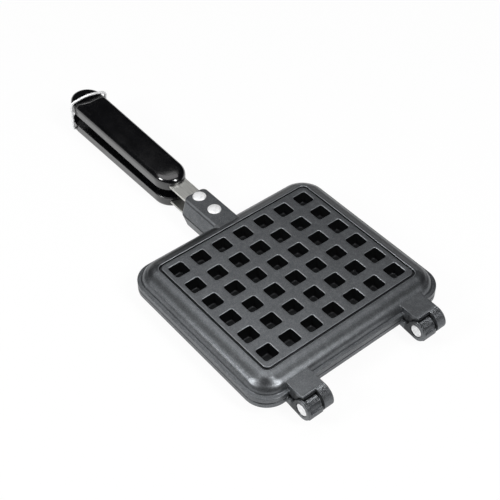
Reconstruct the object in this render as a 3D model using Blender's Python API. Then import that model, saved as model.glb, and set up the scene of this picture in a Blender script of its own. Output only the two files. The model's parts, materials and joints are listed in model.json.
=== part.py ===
"""Stovetop waffle iron: two hinged plates, riveted tangs, moulded handles and a wire bail.

Metres, +Z up. +Y runs from the hinge to the ends of the handles and +X along the hinge.
The origin is the middle of the lower plate's underside, on which the iron rests.
Heights called h are measured from the parting plane between the plates, outward, so the
same drawing serves both halves.
"""

import math

import bmesh
import bpy
from mathutils import Matrix, Vector

# Clearances
GAP = 0.0003  # between pieces that touch
OVERRUN = 0.002  # how far a cut runs past what it cuts

# Grid of pockets on the outside of each plate, and of studs on the inside
PITCH = 0.0185
COLUMNS = 7
ROWS = 6
POCKET_MOUTH = 0.0111
POCKET_FLOOR = 0.0082
POCKET_DEPTH = 0.0085
POCKET_CORNER = 0.0013
POCKET_LIP = 0.00035
STUD_BASE = 0.0136
STUD_TIP = 0.0106
STUD_CORNER = 0.0018
STUD_GAP = 0.0060  # between facing studs when closed

# Plate
PLATE_DEPTH = 0.0146  # parting plane to panel face
PANEL_BESIDE = 0.00365  # from the outer pockets to the panel's edge, along X
PANEL_BEYOND = 0.0046  # the same along Y
PANEL_CORNER = 0.0028
PANEL_SKIN = 0.0030
GROOVE_WIDTH = 0.0017
GROOVE_DEPTH = 0.0020
RIM_START = 0.0011  # how far the first moulding starts below the panel face
INNER_RUN = 0.0051
INNER_DROP = 0.0023
DIP_RUN = 0.0020
DIP_DROP = 0.0010
OUTER_RUN = 0.0049
OUTER_DROP = 0.0060
LEDGE_WIDTH = 0.0024
RING_CORNER = 0.0032
FLANGE_CORNER = 0.0170
EDGE_BREAK = 0.0004
LAND_WIDTH = 0.0072
CAVITY_SLOPE = 0.0078
CAVITY_CORNER = 0.0085
CAVITY_COVE = 0.0010

# Handle lug on the plate
LUG_DROP = 0.00185  # lug's outer face below the panel face
LUG_TOP_WIDTH = 0.0184
LUG_FOOT_WIDTH = 0.0262
LUG_REACH = 0.0309  # beyond the flange
LUG_CORNER = 0.0035
LUG_EDGE = 0.0009
CHANNEL_START = 0.0012  # from the flange's edge to the tang's channel

# Tang
TANG_WIDTH = 0.0146
TANG_THICK = 0.0020
TANG_DROP = 0.0063  # tang's outer face below the panel face
TANG_SHOWN = 0.0181  # between lug and handle
TANG_HELD = 0.0360  # length inside the handle
TANG_CORNER = 0.0020

# Rivets
RIVET_HEAD = 0.0100
RIVET_CROWN = 0.0014
RIVET_BRIM = 0.0004
RIVET_SHANK = 0.0050
RIVET_TAIL = 0.0080
RIVET_TAIL_HEIGHT = 0.0015
RIVET_FROM_END = 0.0065
RIVET_SPACING = 0.0177

# Handles
HANDLE_LENGTH = 0.1380
HANDLE_WIDTH = 0.0264
HANDLE_DEPTH = 0.0104
HANDLE_UNDER = 0.0027  # handle's inner face below the tang's
HANDLE_EDGE = 0.0043
HANDLE_INNER_EDGE = 0.0008
HANDLE_END = 0.0155
HANDLE_FRONT_TAPER = 0.0014  # narrower at the front by this much
NOSE_LENGTH = 0.0150
NOSE_SLOPE = 0.0060  # how far the nose draws back as its edge rounds over
END_SLOPE = 0.0065  # the same for the rear end
HANDLE_RISE = 0.0030  # the upper tang is bent up so that the handle's rear end rises by this

# Handle screws
SCREW_HEAD = 0.0064
SCREW_SHANK = 0.0030
SCREW_LENGTH = 0.0075
SCREW_SLOT = 0.0009
SCREW_SLOT_DEPTH = 0.0006
SCREW_SUNK = 0.0002
SCREW_IN_HANDLE = 0.0260  # from the handle's front

# Hinge
HINGE_BACK = 0.0132  # axis behind the flange
HINGE_INSET = 0.01495  # each hinge's middle in from the panel's edge
HINGE_SHIFT = -0.00145  # both hinges sit this far off centre
HINGE_WIDTH = 0.0203
EAR_THICK = 0.0018
EAR_RADIUS = 0.0074
BARREL_RADIUS = 0.0058
KNUCKLE_WIDTH = 0.0122
KNUCKLE_SPACE = 0.0008
ARM_DEPTH = 0.0055
ARM_STEP = 0.0004  # the ear's arm stands this much below the barrel's
ARM_RELIEF = 0.0003  # hinge arms and lugs stand back from the lands by this much
STOP_REACH = 0.0072  # stop ledge behind the axis
STOP_HEIGHT = 0.0006  # stop ledge above the axis
STOP_CORNER = 0.0024
UPPER_EAR_RADIUS = 0.0075
HINGE_LUG_DROP = 0.0055  # below the panel face
STOP_EDGE = 0.0015  # lip's end in front of the axis

# Hinge pins
PIN_HEAD = 0.0090
PIN_HEAD_THICK = 0.0011
PIN_SUNK = 0.0002
PIN_SHAFT = 0.0060
PIN_CHAMFER = 0.0005

# Bail
WIRE = 0.0020
BAIL_BESIDE = 0.0009  # between each leg and the handle
BAIL_OVER = 0.0015  # crossbar's centre above the handle
BAIL_ARCH = 0.0018
BAIL_LEAN = 0.0032  # crossbar ahead of the pivot at rest
BAIL_SKEW = 0.0018  # right shoulder ahead of the crossbar's middle, left one behind it
BAIL_BEND = 0.0045
BAIL_FOOT_BEND = 0.0021
BAIL_IN_HANDLE = 0.0038
BAIL_FROM_END = 0.0135

# Facets
CORNER_STEPS = 6
RING_STEPS = 3
ROUND_STEPS = 4
TURN_STEPS = 16
HINGE_STEPS = 24
END_STEPS = 12
SHARP_ANGLE = math.radians(32)

# Shares, chosen by hand, of the sizes that they follow
GROOVE_FLOOR_SHARES = (0.15, 0.75)
INNER_SHARES = ((0.33, 0.24), (0.65, 0.52), (1.0, 1.0))
DIP_SHARES = ((0.35, 0.50), (1.0, 1.0))

# Sizes that follow
SEAM_H = GAP / 2
PANEL_HALF_X = ((COLUMNS - 1) * PITCH + POCKET_MOUTH) / 2 + PANEL_BESIDE
PANEL_HALF_Y = ((ROWS - 1) * PITCH + POCKET_MOUTH) / 2 + PANEL_BEYOND
RIM_RUN = GROOVE_WIDTH + INNER_RUN + DIP_RUN + OUTER_RUN + LEDGE_WIDTH
FLANGE_HALF_Y = PANEL_HALF_Y + RIM_RUN
LUG_TOP_H = PLATE_DEPTH - LUG_DROP
LUG_END_Y = FLANGE_HALF_Y + LUG_REACH
CHANNEL_Y = FLANGE_HALF_Y + CHANNEL_START
TANG_OUT_H = PLATE_DEPTH - TANG_DROP
TANG_IN_H = TANG_OUT_H - TANG_THICK
TANG_START_Y = CHANNEL_Y + GAP
HANDLE_START_Y = LUG_END_Y + TANG_SHOWN
TANG_END_Y = HANDLE_START_Y + TANG_HELD
HANDLE_IN_H = TANG_IN_H - HANDLE_UNDER
HANDLE_OUT_H = HANDLE_IN_H + HANDLE_DEPTH
HANDLE_END_Y = HANDLE_START_Y + HANDLE_LENGTH
RIVET_Y = (LUG_END_Y - RIVET_FROM_END - RIVET_SPACING, LUG_END_Y - RIVET_FROM_END)
SCREW_Y = HANDLE_START_Y + SCREW_IN_HANDLE
AXIS_Y = -(FLANGE_HALF_Y + HINGE_BACK)
HINGE_SPREAD = 2 * (PANEL_HALF_X - HINGE_INSET)
HINGE_LEFT_X = tuple(
    HINGE_SHIFT + side * HINGE_SPREAD / 2 - HINGE_WIDTH / 2 for side in (-1, 1)
)
HINGE_LUG_H = PLATE_DEPTH - HINGE_LUG_DROP
ARM_TOP = SEAM_H + ARM_RELIEF
UPPER_LUG_LEFT = EAR_THICK + GAP  # from the hinge's left face
UPPER_EAR_LEFT = KNUCKLE_WIDTH + KNUCKLE_SPACE
BAIL_Y = HANDLE_END_Y - BAIL_FROM_END
BAIL_H = -(HANDLE_IN_H + HANDLE_OUT_H) / 2
BAIL_WIDTH = HANDLE_WIDTH + 2 * BAIL_BESIDE + WIRE  # between the legs' centres
TANG_SLOPE = HANDLE_RISE / (HANDLE_END_Y - LUG_END_Y)
HANDLE_TOP_AT_BAIL = HANDLE_OUT_H + TANG_SLOPE * (BAIL_Y - LUG_END_Y)
BAIL_REACH = HANDLE_TOP_AT_BAIL - BAIL_H + BAIL_OVER  # from the pivot

UPPER, LOWER = 1, -1


def clear_scene():
    for obj in list(bpy.data.objects):
        bpy.data.objects.remove(obj, do_unlink=True)
    for block in (bpy.data.meshes, bpy.data.curves, bpy.data.materials):
        for item in list(block):
            block.remove(item)


def material(name, colour, roughness, metallic):
    made = bpy.data.materials.new(name)
    made.use_nodes = True
    made.diffuse_color = (*colour, 1.0)
    shader = made.node_tree.nodes["Principled BSDF"]
    shader.inputs["Base Color"].default_value = (*colour, 1.0)
    shader.inputs["Roughness"].default_value = roughness
    shader.inputs["Metallic"].default_value = metallic
    return made


def arc(radius, start, stop, steps, centre=(0.0, 0.0)):
    """Points on a circle, from angle start to angle stop."""
    points = []
    for i in range(steps + 1):
        a = start + (stop - start) * i / steps
        points.append((centre[0] + radius * math.cos(a), centre[1] + radius * math.sin(a)))
    return points


def rounded_rectangle(half_x, half_y, radius, steps=CORNER_STEPS):
    points = []
    for turn, (sx, sy) in enumerate(((1, 1), (-1, 1), (-1, -1), (1, -1))):
        centre = (sx * (half_x - radius), sy * (half_y - radius))
        start = turn * math.pi / 2
        points += arc(radius, start, start + math.pi / 2, steps, centre)
    return points


def cut_square(half, corner):
    """A square outline with its corners cut off, from eight points."""
    points = []
    for sx, sy, order in ((1, 1, 1), (-1, 1, -1), (-1, -1, 1), (1, -1, -1)):
        pair = [(sx * half, sy * (half - corner)), (sx * (half - corner), sy * half)]
        points += pair[::order]
    return points


def add_ring(bm, points, h):
    return [bm.verts.new((x, y, h)) for x, y in points]


def bridge(bm, first, second):
    count = len(first)
    for i in range(count):
        j = (i + 1) % count
        bm.faces.new((first[i], first[j], second[j], second[i]))


def ring_edges(bm, ring):
    return [bm.edges.get((ring[i - 1], ring[i])) for i in range(len(ring))]


def grid_places():
    for row in range(ROWS):
        for column in range(COLUMNS):
            yield (
                (column - (COLUMNS - 1) / 2) * PITCH,
                (row - (ROWS - 1) / 2) * PITCH,
            )


def close_with_pits(bm, border, levels):
    """Closes a ring with a flat face in which the whole grid of pits is sunk.

    Each level is (width, corner, h); the first lies in the face and the last is the floor.
    """
    edges = ring_edges(bm, border)
    for cx, cy in grid_places():
        rings = []
        for width, corner, h in levels:
            outline = [(cx + x, cy + y) for x, y in cut_square(width / 2, corner)]
            rings.append(add_ring(bm, outline, h))
        for upper, lower in zip(rings, rings[1:]):
            bridge(bm, upper, lower)
        bm.faces.new(rings[-1])
        edges += ring_edges(bm, rings[0])
    bmesh.ops.triangle_fill(bm, edges=edges, use_beauty=True)


def to_object(bm, name, side=UPPER):
    """Turns a drawing into an object; the lower side is the upper one mirrored in h."""
    if side == LOWER:
        bmesh.ops.scale(bm, vec=(1, 1, -1), verts=bm.verts)
    bm.normal_update()
    bmesh.ops.recalc_face_normals(bm, faces=bm.faces)
    mesh = bpy.data.meshes.new(name)
    bm.to_mesh(mesh)
    bm.free()
    obj = bpy.data.objects.new(name, mesh)
    bpy.context.scene.collection.objects.link(obj)
    return obj


def loft(name, rings, side=UPPER):
    """A closed solid through rings of (points, h), flat at both ends."""
    bm = bmesh.new()
    loops = [add_ring(bm, points, h) for points, h in rings]
    for lower, upper in zip(loops, loops[1:]):
        bridge(bm, lower, upper)
    bm.faces.new(loops[0])
    bm.faces.new(loops[-1])
    return to_object(bm, name, side)


def block(name, x, y, h, side=UPPER):
    corners = [(x[0], y[0]), (x[1], y[0]), (x[1], y[1]), (x[0], y[1])]
    return loft(name, [(corners, h[0]), (corners, h[1])], side)


def along_x(name, profile, start, stop):
    """Extrudes a profile of (y, h) along X."""
    bm = bmesh.new()
    ends = [[bm.verts.new((x, y, h)) for y, h in profile] for x in (start, stop)]
    bridge(bm, *ends)
    for end in ends:
        bm.faces.new(end)
    return to_object(bm, name)


def turned(name, profile, steps=TURN_STEPS):
    """Spins a profile of (radius, height) about Z; it starts and ends on the axis."""
    bm = bmesh.new()
    verts = [bm.verts.new((radius, 0, height)) for radius, height in profile]
    edges = [bm.edges.new(pair) for pair in zip(verts, verts[1:])]
    bmesh.ops.spin(
        bm, geom=verts + edges, cent=(0, 0, 0), axis=(0, 0, 1),
        angle=2 * math.pi, steps=steps, use_merge=True,
    )
    bmesh.ops.remove_doubles(bm, verts=bm.verts, dist=GAP / 1000)
    return to_object(bm, name)


def rod(name, radius, start, stop, steps=TURN_STEPS):
    """A plain cylinder between two points."""
    start, stop = Vector(start), Vector(stop)
    bm = bmesh.new()
    bmesh.ops.create_cone(
        bm, cap_ends=True, segments=steps, radius1=radius, radius2=radius,
        depth=(stop - start).length,
    )
    turn = (stop - start).to_track_quat("Z", "Y").to_matrix().to_4x4()
    bm.transform(Matrix.Translation((start + stop) / 2) @ turn)
    return to_object(bm, name)


def combine(obj, tool, operation):
    """Joins a tool to an object, or cuts it out, and removes the tool."""
    tool.hide_render = True
    tool.display_type = "WIRE"
    step = obj.modifiers.new(tool.name, "BOOLEAN")
    step.operation = operation
    step.solver = "EXACT"
    step.object = tool
    bpy.context.view_layer.update()
    shaped = obj.evaluated_get(bpy.context.evaluated_depsgraph_get())
    mesh = bpy.data.meshes.new_from_object(shaped)
    bm = bmesh.new()
    bm.from_mesh(mesh)
    bmesh.ops.dissolve_degenerate(bm, edges=bm.edges, dist=GAP / 1000)
    bm.to_mesh(mesh)
    bm.free()
    obj.modifiers.clear()
    old = obj.data
    obj.data = mesh
    bpy.data.meshes.remove(old)
    used = tool.data
    bpy.data.objects.remove(tool, do_unlink=True)
    bpy.data.meshes.remove(used)


def join(obj, *tools):
    for tool in tools:
        combine(obj, tool, "UNION")


def cut(obj, *tools):
    for tool in tools:
        combine(obj, tool, "DIFFERENCE")


def finish(obj, name, look, location=(0, 0, 0), parent=None, smooth=True):
    obj.name = name
    obj.data.name = name
    obj.data.materials.clear()
    obj.data.materials.append(look)
    if smooth:
        obj.data.shade_smooth()
        obj.data.set_sharp_from_angle(angle=SHARP_ANGLE)
    obj.location = location
    obj.parent = parent
    return obj


def empty(name, location):
    obj = bpy.data.objects.new(name, None)
    obj.location = location
    bpy.context.scene.collection.objects.link(obj)
    return obj


def quarter(run, drop):
    """A convex quarter round, from flat to upright, as (run, drop) pairs."""
    points = []
    for i in range(1, RING_STEPS + 1):
        a = math.pi / 2 * i / RING_STEPS
        points.append((run * math.sin(a), drop * (1 - math.cos(a))))
    return points


def rim_profile():
    """The plate's outer edge as (offset from the panel's edge, drop below its face)."""
    inner_at = (GROOVE_WIDTH, RIM_START)
    dip_at = (inner_at[0] + INNER_RUN, inner_at[1] + INNER_DROP)
    outer_at = (dip_at[0] + DIP_RUN, dip_at[1] + DIP_DROP)
    ledge_drop = outer_at[1] + OUTER_DROP
    profile = [inner_at]
    profile += [(inner_at[0] + r * INNER_RUN, inner_at[1] + d * INNER_DROP) for r, d in INNER_SHARES]
    profile += [(dip_at[0] + r * DIP_RUN, dip_at[1] + d * DIP_DROP) for r, d in DIP_SHARES]
    profile += [(outer_at[0] + r, outer_at[1] + d) for r, d in quarter(OUTER_RUN, OUTER_DROP)]
    land_drop = PLATE_DEPTH - SEAM_H
    profile += [
        (RIM_RUN - EDGE_BREAK, ledge_drop),
        (RIM_RUN, ledge_drop + EDGE_BREAK),
        (RIM_RUN, land_drop - EDGE_BREAK),
        (RIM_RUN - EDGE_BREAK, land_drop),
    ]
    return profile


def rim_ring(offset, radius):
    return rounded_rectangle(PANEL_HALF_X + offset, PANEL_HALF_Y + offset, radius)


def plate_body(name, side):
    """The plate's outside, solid as yet, with the pockets sunk in its panel."""
    groove_in, groove_out = (share * GROOVE_WIDTH for share in GROOVE_FLOOR_SHARES)
    rings = [
        (rim_ring(-EDGE_BREAK, PANEL_CORNER), PLATE_DEPTH),
        (rim_ring(0, PANEL_CORNER), PLATE_DEPTH - EDGE_BREAK),
        (rim_ring(groove_in, PANEL_CORNER), PLATE_DEPTH - GROOVE_DEPTH),
        (rim_ring(groove_out, RING_CORNER), PLATE_DEPTH - GROOVE_DEPTH),
    ]
    for offset, drop in rim_profile():
        share = (offset - GROOVE_WIDTH) / (RIM_RUN - GROOVE_WIDTH)
        radius = RING_CORNER + (FLANGE_CORNER - RING_CORNER) * share
        rings.append((rim_ring(offset, radius), PLATE_DEPTH - drop))
    bm = bmesh.new()
    loops = [add_ring(bm, points, h) for points, h in rings]
    for upper, lower in zip(loops, loops[1:]):
        bridge(bm, upper, lower)
    bm.faces.new(loops[-1])
    close_with_pits(bm, loops[0], [
        (POCKET_MOUTH, POCKET_CORNER, PLATE_DEPTH),
        (POCKET_MOUTH - 2 * POCKET_LIP, POCKET_CORNER, PLATE_DEPTH - POCKET_LIP),
        (POCKET_FLOOR, POCKET_CORNER, PLATE_DEPTH - POCKET_DEPTH),
    ])
    return to_object(bm, name, side)


def batter_space(name, side):
    """The hollow on the cooking side, with the grid of studs left standing in it."""
    open_offset = RIM_RUN - LAND_WIDTH
    roof_offset = open_offset - CAVITY_SLOPE
    roof_h = PLATE_DEPTH - PANEL_SKIN
    bm = bmesh.new()
    loops = [
        add_ring(bm, rim_ring(open_offset, CAVITY_CORNER), -OVERRUN),
        add_ring(bm, rim_ring(open_offset, CAVITY_CORNER), SEAM_H),
        add_ring(bm, rim_ring(roof_offset + CAVITY_COVE, CAVITY_CORNER), roof_h - CAVITY_COVE),
        add_ring(bm, rim_ring(roof_offset, CAVITY_CORNER - CAVITY_COVE), roof_h),
    ]
    for lower, upper in zip(loops, loops[1:]):
        bridge(bm, lower, upper)
    bm.faces.new(loops[0])
    close_with_pits(bm, loops[-1], [
        (STUD_BASE, STUD_CORNER, roof_h),
        (STUD_TIP, STUD_CORNER, STUD_GAP / 2),
    ])
    return to_object(bm, name, side)


def lug_ring(h, inset):
    """The handle lug's plan at a height: parallel sides and a round-cornered end."""
    share = (h - SEAM_H) / (LUG_TOP_H - SEAM_H)
    half = (LUG_FOOT_WIDTH + (LUG_TOP_WIDTH - LUG_FOOT_WIDTH) * share) / 2 - inset
    end = LUG_END_Y - inset
    root = PANEL_HALF_Y + GROOVE_WIDTH
    radius = LUG_CORNER
    right = arc(radius, 0, math.pi / 2, ROUND_STEPS, (half - radius, end - radius))
    left = arc(radius, math.pi / 2, math.pi, ROUND_STEPS, (radius - half, end - radius))
    return [(half, root), *right, *left, (-half, root)]


def handle_lug(name, side):
    shoulder = LUG_TOP_H - LUG_EDGE
    rings = [(lug_ring(SEAM_H, 0), SEAM_H), (lug_ring(shoulder, 0), shoulder)]
    for out, up in ((r, LUG_EDGE - d) for r, d in quarter(LUG_EDGE, LUG_EDGE)[-2::-1]):
        rings.append((lug_ring(shoulder + up, LUG_EDGE - out), shoulder + up))
    rings.append((lug_ring(LUG_TOP_H, LUG_EDGE), LUG_TOP_H))
    return loft(name, rings, side)


def tang_channel(name, side):
    half = TANG_WIDTH / 2 + GAP
    return block(
        name, (-half, half), (CHANNEL_Y, LUG_END_Y + OVERRUN),
        (-OVERRUN, TANG_OUT_H + GAP), side,
    )


def rivet_hole(y, side):
    return rod(
        "rivet_hole", RIVET_SHANK / 2 + GAP,
        (0, y, 0), (0, y, side * (PLATE_DEPTH + OVERRUN)),
    )


def plate(side, name):
    """One cast plate but for its hinge."""
    body = plate_body(name, side)
    join(body, handle_lug("handle_lug", side))
    cut(body, tang_channel("tang_channel", side))
    cut(body, *[rivet_hole(y, side) for y in RIVET_Y])
    return body


def pin_bore(left):
    return rod(
        "pin_bore", PIN_SHAFT / 2 + GAP,
        (left - OVERRUN, AXIS_Y, 0), (left + HINGE_WIDTH + OVERRUN, AXIS_Y, 0),
    )


def pin_seat(left):
    return rod(
        "pin_seat", PIN_HEAD / 2 + GAP,
        (left - OVERRUN, AXIS_Y, 0), (left + PIN_SUNK + PIN_HEAD_THICK + GAP, AXIS_Y, 0),
        HINGE_STEPS,
    )


def hinge_root_y():
    return -(PANEL_HALF_Y + GROOVE_WIDTH)


def lower_ear_profile():
    """The ear's disc and its arm, whose underside runs at a tangent to the disc."""
    root = LEDGE_WIDTH - FLANGE_HALF_Y
    depth = ARM_DEPTH + ARM_STEP
    reach = math.hypot(HINGE_BACK, depth)
    slope = math.asin(EAR_RADIUS / reach) - math.atan2(depth, HINGE_BACK)
    start = -math.asin(ARM_TOP / EAR_RADIUS)
    stop = 3 * math.pi / 2 + slope
    disc = arc(EAR_RADIUS, start, stop, HINGE_STEPS, (AXIS_Y, 0))
    return [*disc, (-FLANGE_HALF_Y, -depth), (root, -depth), (root, -ARM_TOP)]


def lower_barrel_profile():
    """The barrel round the pin, with the stop ledge behind it and the arm before it."""
    root = hinge_root_y()
    start = -math.asin(ARM_TOP / BARREL_RADIUS)
    stop = math.pi - math.asin(STOP_HEIGHT / BARREL_RADIUS)
    crown = arc(BARREL_RADIUS, start, stop, HINGE_STEPS // 2, (AXIS_Y, 0))
    heel = (AXIS_Y - STOP_REACH + STOP_CORNER, STOP_CORNER - ARM_DEPTH)
    corner = arc(STOP_CORNER, math.pi, 3 * math.pi / 2, ROUND_STEPS, heel)
    ledge = (AXIS_Y - STOP_REACH, STOP_HEIGHT)
    return [*crown, ledge, *corner[:-1], (heel[0], -ARM_DEPTH), (root, -ARM_DEPTH), (root, -ARM_TOP)]


def upper_lug_profile(ear):
    """The upper lug over the knuckle, or the same with the ear at its end."""
    root = hinge_root_y()
    edge = AXIS_Y + STOP_EDGE
    if not ear:
        return [(root, ARM_TOP), (root, HINGE_LUG_H), (edge, HINGE_LUG_H), (edge, ARM_TOP)]
    # The ear's nose rounds over from the lug's top into its disc
    nose = (AXIS_Y - UPPER_EAR_RADIUS + HINGE_LUG_H, 0)
    over = arc(HINGE_LUG_H, math.pi / 2, math.pi, HINGE_STEPS // 2, nose)
    stop = 2 * math.pi + math.asin(ARM_TOP / UPPER_EAR_RADIUS)
    under = arc(UPPER_EAR_RADIUS, math.pi, stop, HINGE_STEPS // 2, (AXIS_Y, 0))
    return [(root, ARM_TOP), (root, HINGE_LUG_H), *over, *under[1:]]


def add_lower_hinge(body, left):
    knuckle = along_x(
        "barrel", lower_barrel_profile(), left + EAR_THICK / 2, left + KNUCKLE_WIDTH,
    )
    join(knuckle, along_x("ear", lower_ear_profile(), left, left + EAR_THICK))
    join(body, knuckle)


def add_upper_hinge(body, left):
    """The lug is cut to a running fit over the lower knuckle before it joins the plate."""
    lug = along_x(
        "lug", upper_lug_profile(False),
        left + UPPER_LUG_LEFT, left + UPPER_EAR_LEFT + KNUCKLE_SPACE,
    )
    cut(lug, rod(
        "knuckle_room", BARREL_RADIUS + GAP,
        (left, AXIS_Y, 0), (left + UPPER_EAR_LEFT, AXIS_Y, 0), 2 * HINGE_STEPS,
    ))
    join(lug, along_x(
        "ear", upper_lug_profile(True), left + UPPER_EAR_LEFT, left + HINGE_WIDTH,
    ))
    join(body, lug)


def handle_outline(inset):
    """The handle's plan, drawn in by an inset: a round rear end and a longer, round nose."""
    back = NOSE_SLOPE * inset / HANDLE_EDGE
    half = HANDLE_WIDTH / 2 - inset
    drawn_in = END_SLOPE * inset / HANDLE_EDGE
    rear = (half, HANDLE_END_Y - HANDLE_END, HANDLE_END - drawn_in)
    nose = (half - HANDLE_FRONT_TAPER / 2, HANDLE_START_Y + NOSE_LENGTH, NOSE_LENGTH - back)
    outline = []
    for start, (across, centre, length) in ((0, rear), (math.pi, nose)):
        for i in range(END_STEPS + 1):
            a = start + math.pi * i / END_STEPS
            outline.append((across * math.cos(a), centre + length * math.sin(a)))
    return outline


def handle_shape(name):
    levels = [(HANDLE_IN_H, HANDLE_INNER_EDGE), (HANDLE_IN_H + HANDLE_INNER_EDGE, 0)]
    top = HANDLE_OUT_H - HANDLE_EDGE
    for i in range(ROUND_STEPS + 1):
        a = math.pi / 2 * i / ROUND_STEPS
        levels.append((top + HANDLE_EDGE * math.sin(a), HANDLE_EDGE * (1 - math.cos(a))))
    return loft(name, [(handle_outline(inset), h) for h, inset in levels])


def tang_slot(name):
    half = TANG_WIDTH / 2 + GAP
    return block(
        name, (-half, half), (HANDLE_START_Y - OVERRUN, TANG_END_Y + GAP),
        (TANG_IN_H - GAP, TANG_OUT_H + GAP),
    )


def screw_seat():
    return rod(
        "screw_seat", SCREW_HEAD / 2 + GAP,
        (0, SCREW_Y, 0), (0, SCREW_Y, (TANG_IN_H + TANG_OUT_H) / 2),
    )


def screw_bore():
    return rod(
        "screw_bore", SCREW_SHANK / 2 + GAP,
        (0, SCREW_Y, 0), (0, SCREW_Y, HANDLE_IN_H + SCREW_LENGTH + GAP),
    )


def tang_shape(name):
    half = TANG_WIDTH / 2
    middle = (TANG_START_Y + TANG_END_Y) / 2
    length = (TANG_END_Y - TANG_START_Y) / 2
    corners = rounded_rectangle(half, length, TANG_CORNER, ROUND_STEPS // 2)
    plan = [(x, middle + y) for x, y in corners]
    return loft(name, [(plan, TANG_IN_H), (plan, TANG_OUT_H)])


def rivet_shape(name):
    """Head at the top, with h = 0 in the lug's outer face."""
    crown = []
    for i in range(RING_STEPS + 1):
        a = math.pi / 2 * i / RING_STEPS
        crown.append((
            RIVET_HEAD / 2 * math.sin(a),
            GAP + RIVET_BRIM + (RIVET_CROWN - RIVET_BRIM) * math.cos(a),
        ))
    tail = TANG_IN_H - LUG_TOP_H - GAP
    shank = RIVET_SHANK / 2
    return turned(name, [
        *crown,
        (RIVET_HEAD / 2, GAP),
        (shank, GAP),
        (shank, tail),
        (RIVET_TAIL / 2, tail),
        (RIVET_TAIL / 2, tail - RIVET_TAIL_HEIGHT + RIVET_BRIM),
        (RIVET_TAIL / 2 - RIVET_BRIM, tail - RIVET_TAIL_HEIGHT),
        (0, tail - RIVET_TAIL_HEIGHT),
    ])


def screw_shape(name):
    """Head at the bottom, seated on the tang's inner face, and h = 0 in that face."""
    foot = HANDLE_IN_H + SCREW_SUNK - TANG_IN_H
    tip = HANDLE_IN_H + SCREW_LENGTH - TANG_IN_H
    shank = SCREW_SHANK / 2
    screw = turned(name, [
        (0, tip),
        (shank - SCREW_SLOT_DEPTH, tip),
        (shank, tip - SCREW_SLOT_DEPTH),
        (shank, -GAP),
        (SCREW_HEAD / 2, -GAP),
        (SCREW_HEAD / 2, foot + GAP),
        (SCREW_HEAD / 2 - GAP, foot),
        (0, foot),
    ], TURN_STEPS - ROUND_STEPS)
    cut(screw, block(
        "screw_slot", (-SCREW_HEAD, SCREW_HEAD), (-SCREW_SLOT / 2, SCREW_SLOT / 2),
        (foot - OVERRUN, foot + SCREW_SLOT_DEPTH),
    ))
    return screw


def pin_shape(name):
    """Turned about Z, head first, then laid along X; its origin is in the hinge's left face."""
    head, shaft = PIN_HEAD / 2, PIN_SHAFT / 2
    under = PIN_SUNK + PIN_HEAD_THICK
    end = HINGE_WIDTH - PIN_SUNK
    pin = turned(name, [
        (0, PIN_SUNK),
        (head - PIN_CHAMFER, PIN_SUNK),
        (head, PIN_SUNK + PIN_CHAMFER / 2),
        (head, under),
        (shaft, under),
        (shaft, end - PIN_CHAMFER),
        (shaft - PIN_CHAMFER, end),
        (0, end),
    ], HINGE_STEPS - ROUND_STEPS)
    pin.data.transform(Matrix.Rotation(math.pi / 2, 4, "Y"))
    return pin


def bail_path():
    """The wire's centre line, from one end inside the handle to the other."""
    half = BAIL_WIDTH / 2
    # The handle's side at the pivot, along its round end
    along = (HANDLE_END - BAIL_FROM_END) / HANDLE_END
    handle_side = HANDLE_WIDTH / 2 * math.sqrt(1 - along ** 2)
    top = math.sqrt(BAIL_REACH ** 2 - BAIL_LEAN ** 2)
    points = [(handle_side - BAIL_IN_HANDLE, 0)]
    foot = (half - BAIL_FOOT_BEND, BAIL_FOOT_BEND)
    points += arc(BAIL_FOOT_BEND, -math.pi / 2, 0, ROUND_STEPS, foot)
    shoulder = (half - BAIL_BEND, top - BAIL_BEND)
    points += arc(BAIL_BEND, 0, math.pi / 2, ROUND_STEPS, shoulder)
    span = half - BAIL_BEND
    for i in range(1, ROUND_STEPS + 1):
        a = math.pi / 2 * i / ROUND_STEPS
        points.append((span * (1 - i / ROUND_STEPS), top + BAIL_ARCH * math.sin(a)))
    points += [(-x, z) for x, z in reversed(points[:-1])]
    return [
        Vector((x, -(BAIL_LEAN + BAIL_SKEW * x / half) * z / top, z)) for x, z in points
    ]


def bail_shape(name):
    """One bent wire; its origin is on the pivots' axis."""
    path = bail_path()
    curve = bpy.data.curves.new(name, "CURVE")
    curve.dimensions = "3D"
    curve.bevel_depth = WIRE / 2
    curve.bevel_resolution = 3
    curve.use_fill_caps = True
    spline = curve.splines.new("POLY")
    spline.points.add(len(path) - 1)
    for point, place in zip(spline.points, path):
        point.co = (*place, 1.0)
    obj = bpy.data.objects.new(name, curve)
    bpy.context.scene.collection.objects.link(obj)
    return obj


def bail_bore():
    half = HANDLE_WIDTH / 2
    inner = half - BAIL_IN_HANDLE - WIRE / 2
    return [
        rod(
            "bail_bore", WIRE / 2 + GAP,
            (side * inner, BAIL_Y, BAIL_H), (side * (half + OVERRUN), BAIL_Y, BAIL_H),
        )
        for side in (-1, 1)
    ]


def rise(y):
    """How far the bent upper tang stands above its straight line."""
    return max(0, y - LUG_END_Y) * TANG_SLOPE


def bent_up(obj, origin_y=0):
    """Bends an upper piece up from the lug's end, about an origin that rises with it."""
    bm = bmesh.new()
    bm.from_mesh(obj.data)
    bmesh.ops.bisect_plane(
        bm, geom=[*bm.verts, *bm.edges, *bm.faces],
        plane_co=(0, LUG_END_Y - origin_y, 0), plane_no=(0, 1, 0),
    )
    for vert in bm.verts:
        vert.co.z += rise(origin_y + vert.co.y) - rise(origin_y)
    bm.to_mesh(obj.data)
    bm.free()


def flipped(obj):
    """Turns a symmetric upper piece into its lower twin."""
    obj.data.transform(Matrix.Rotation(math.pi, 4, "Y"))
    return obj


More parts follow.
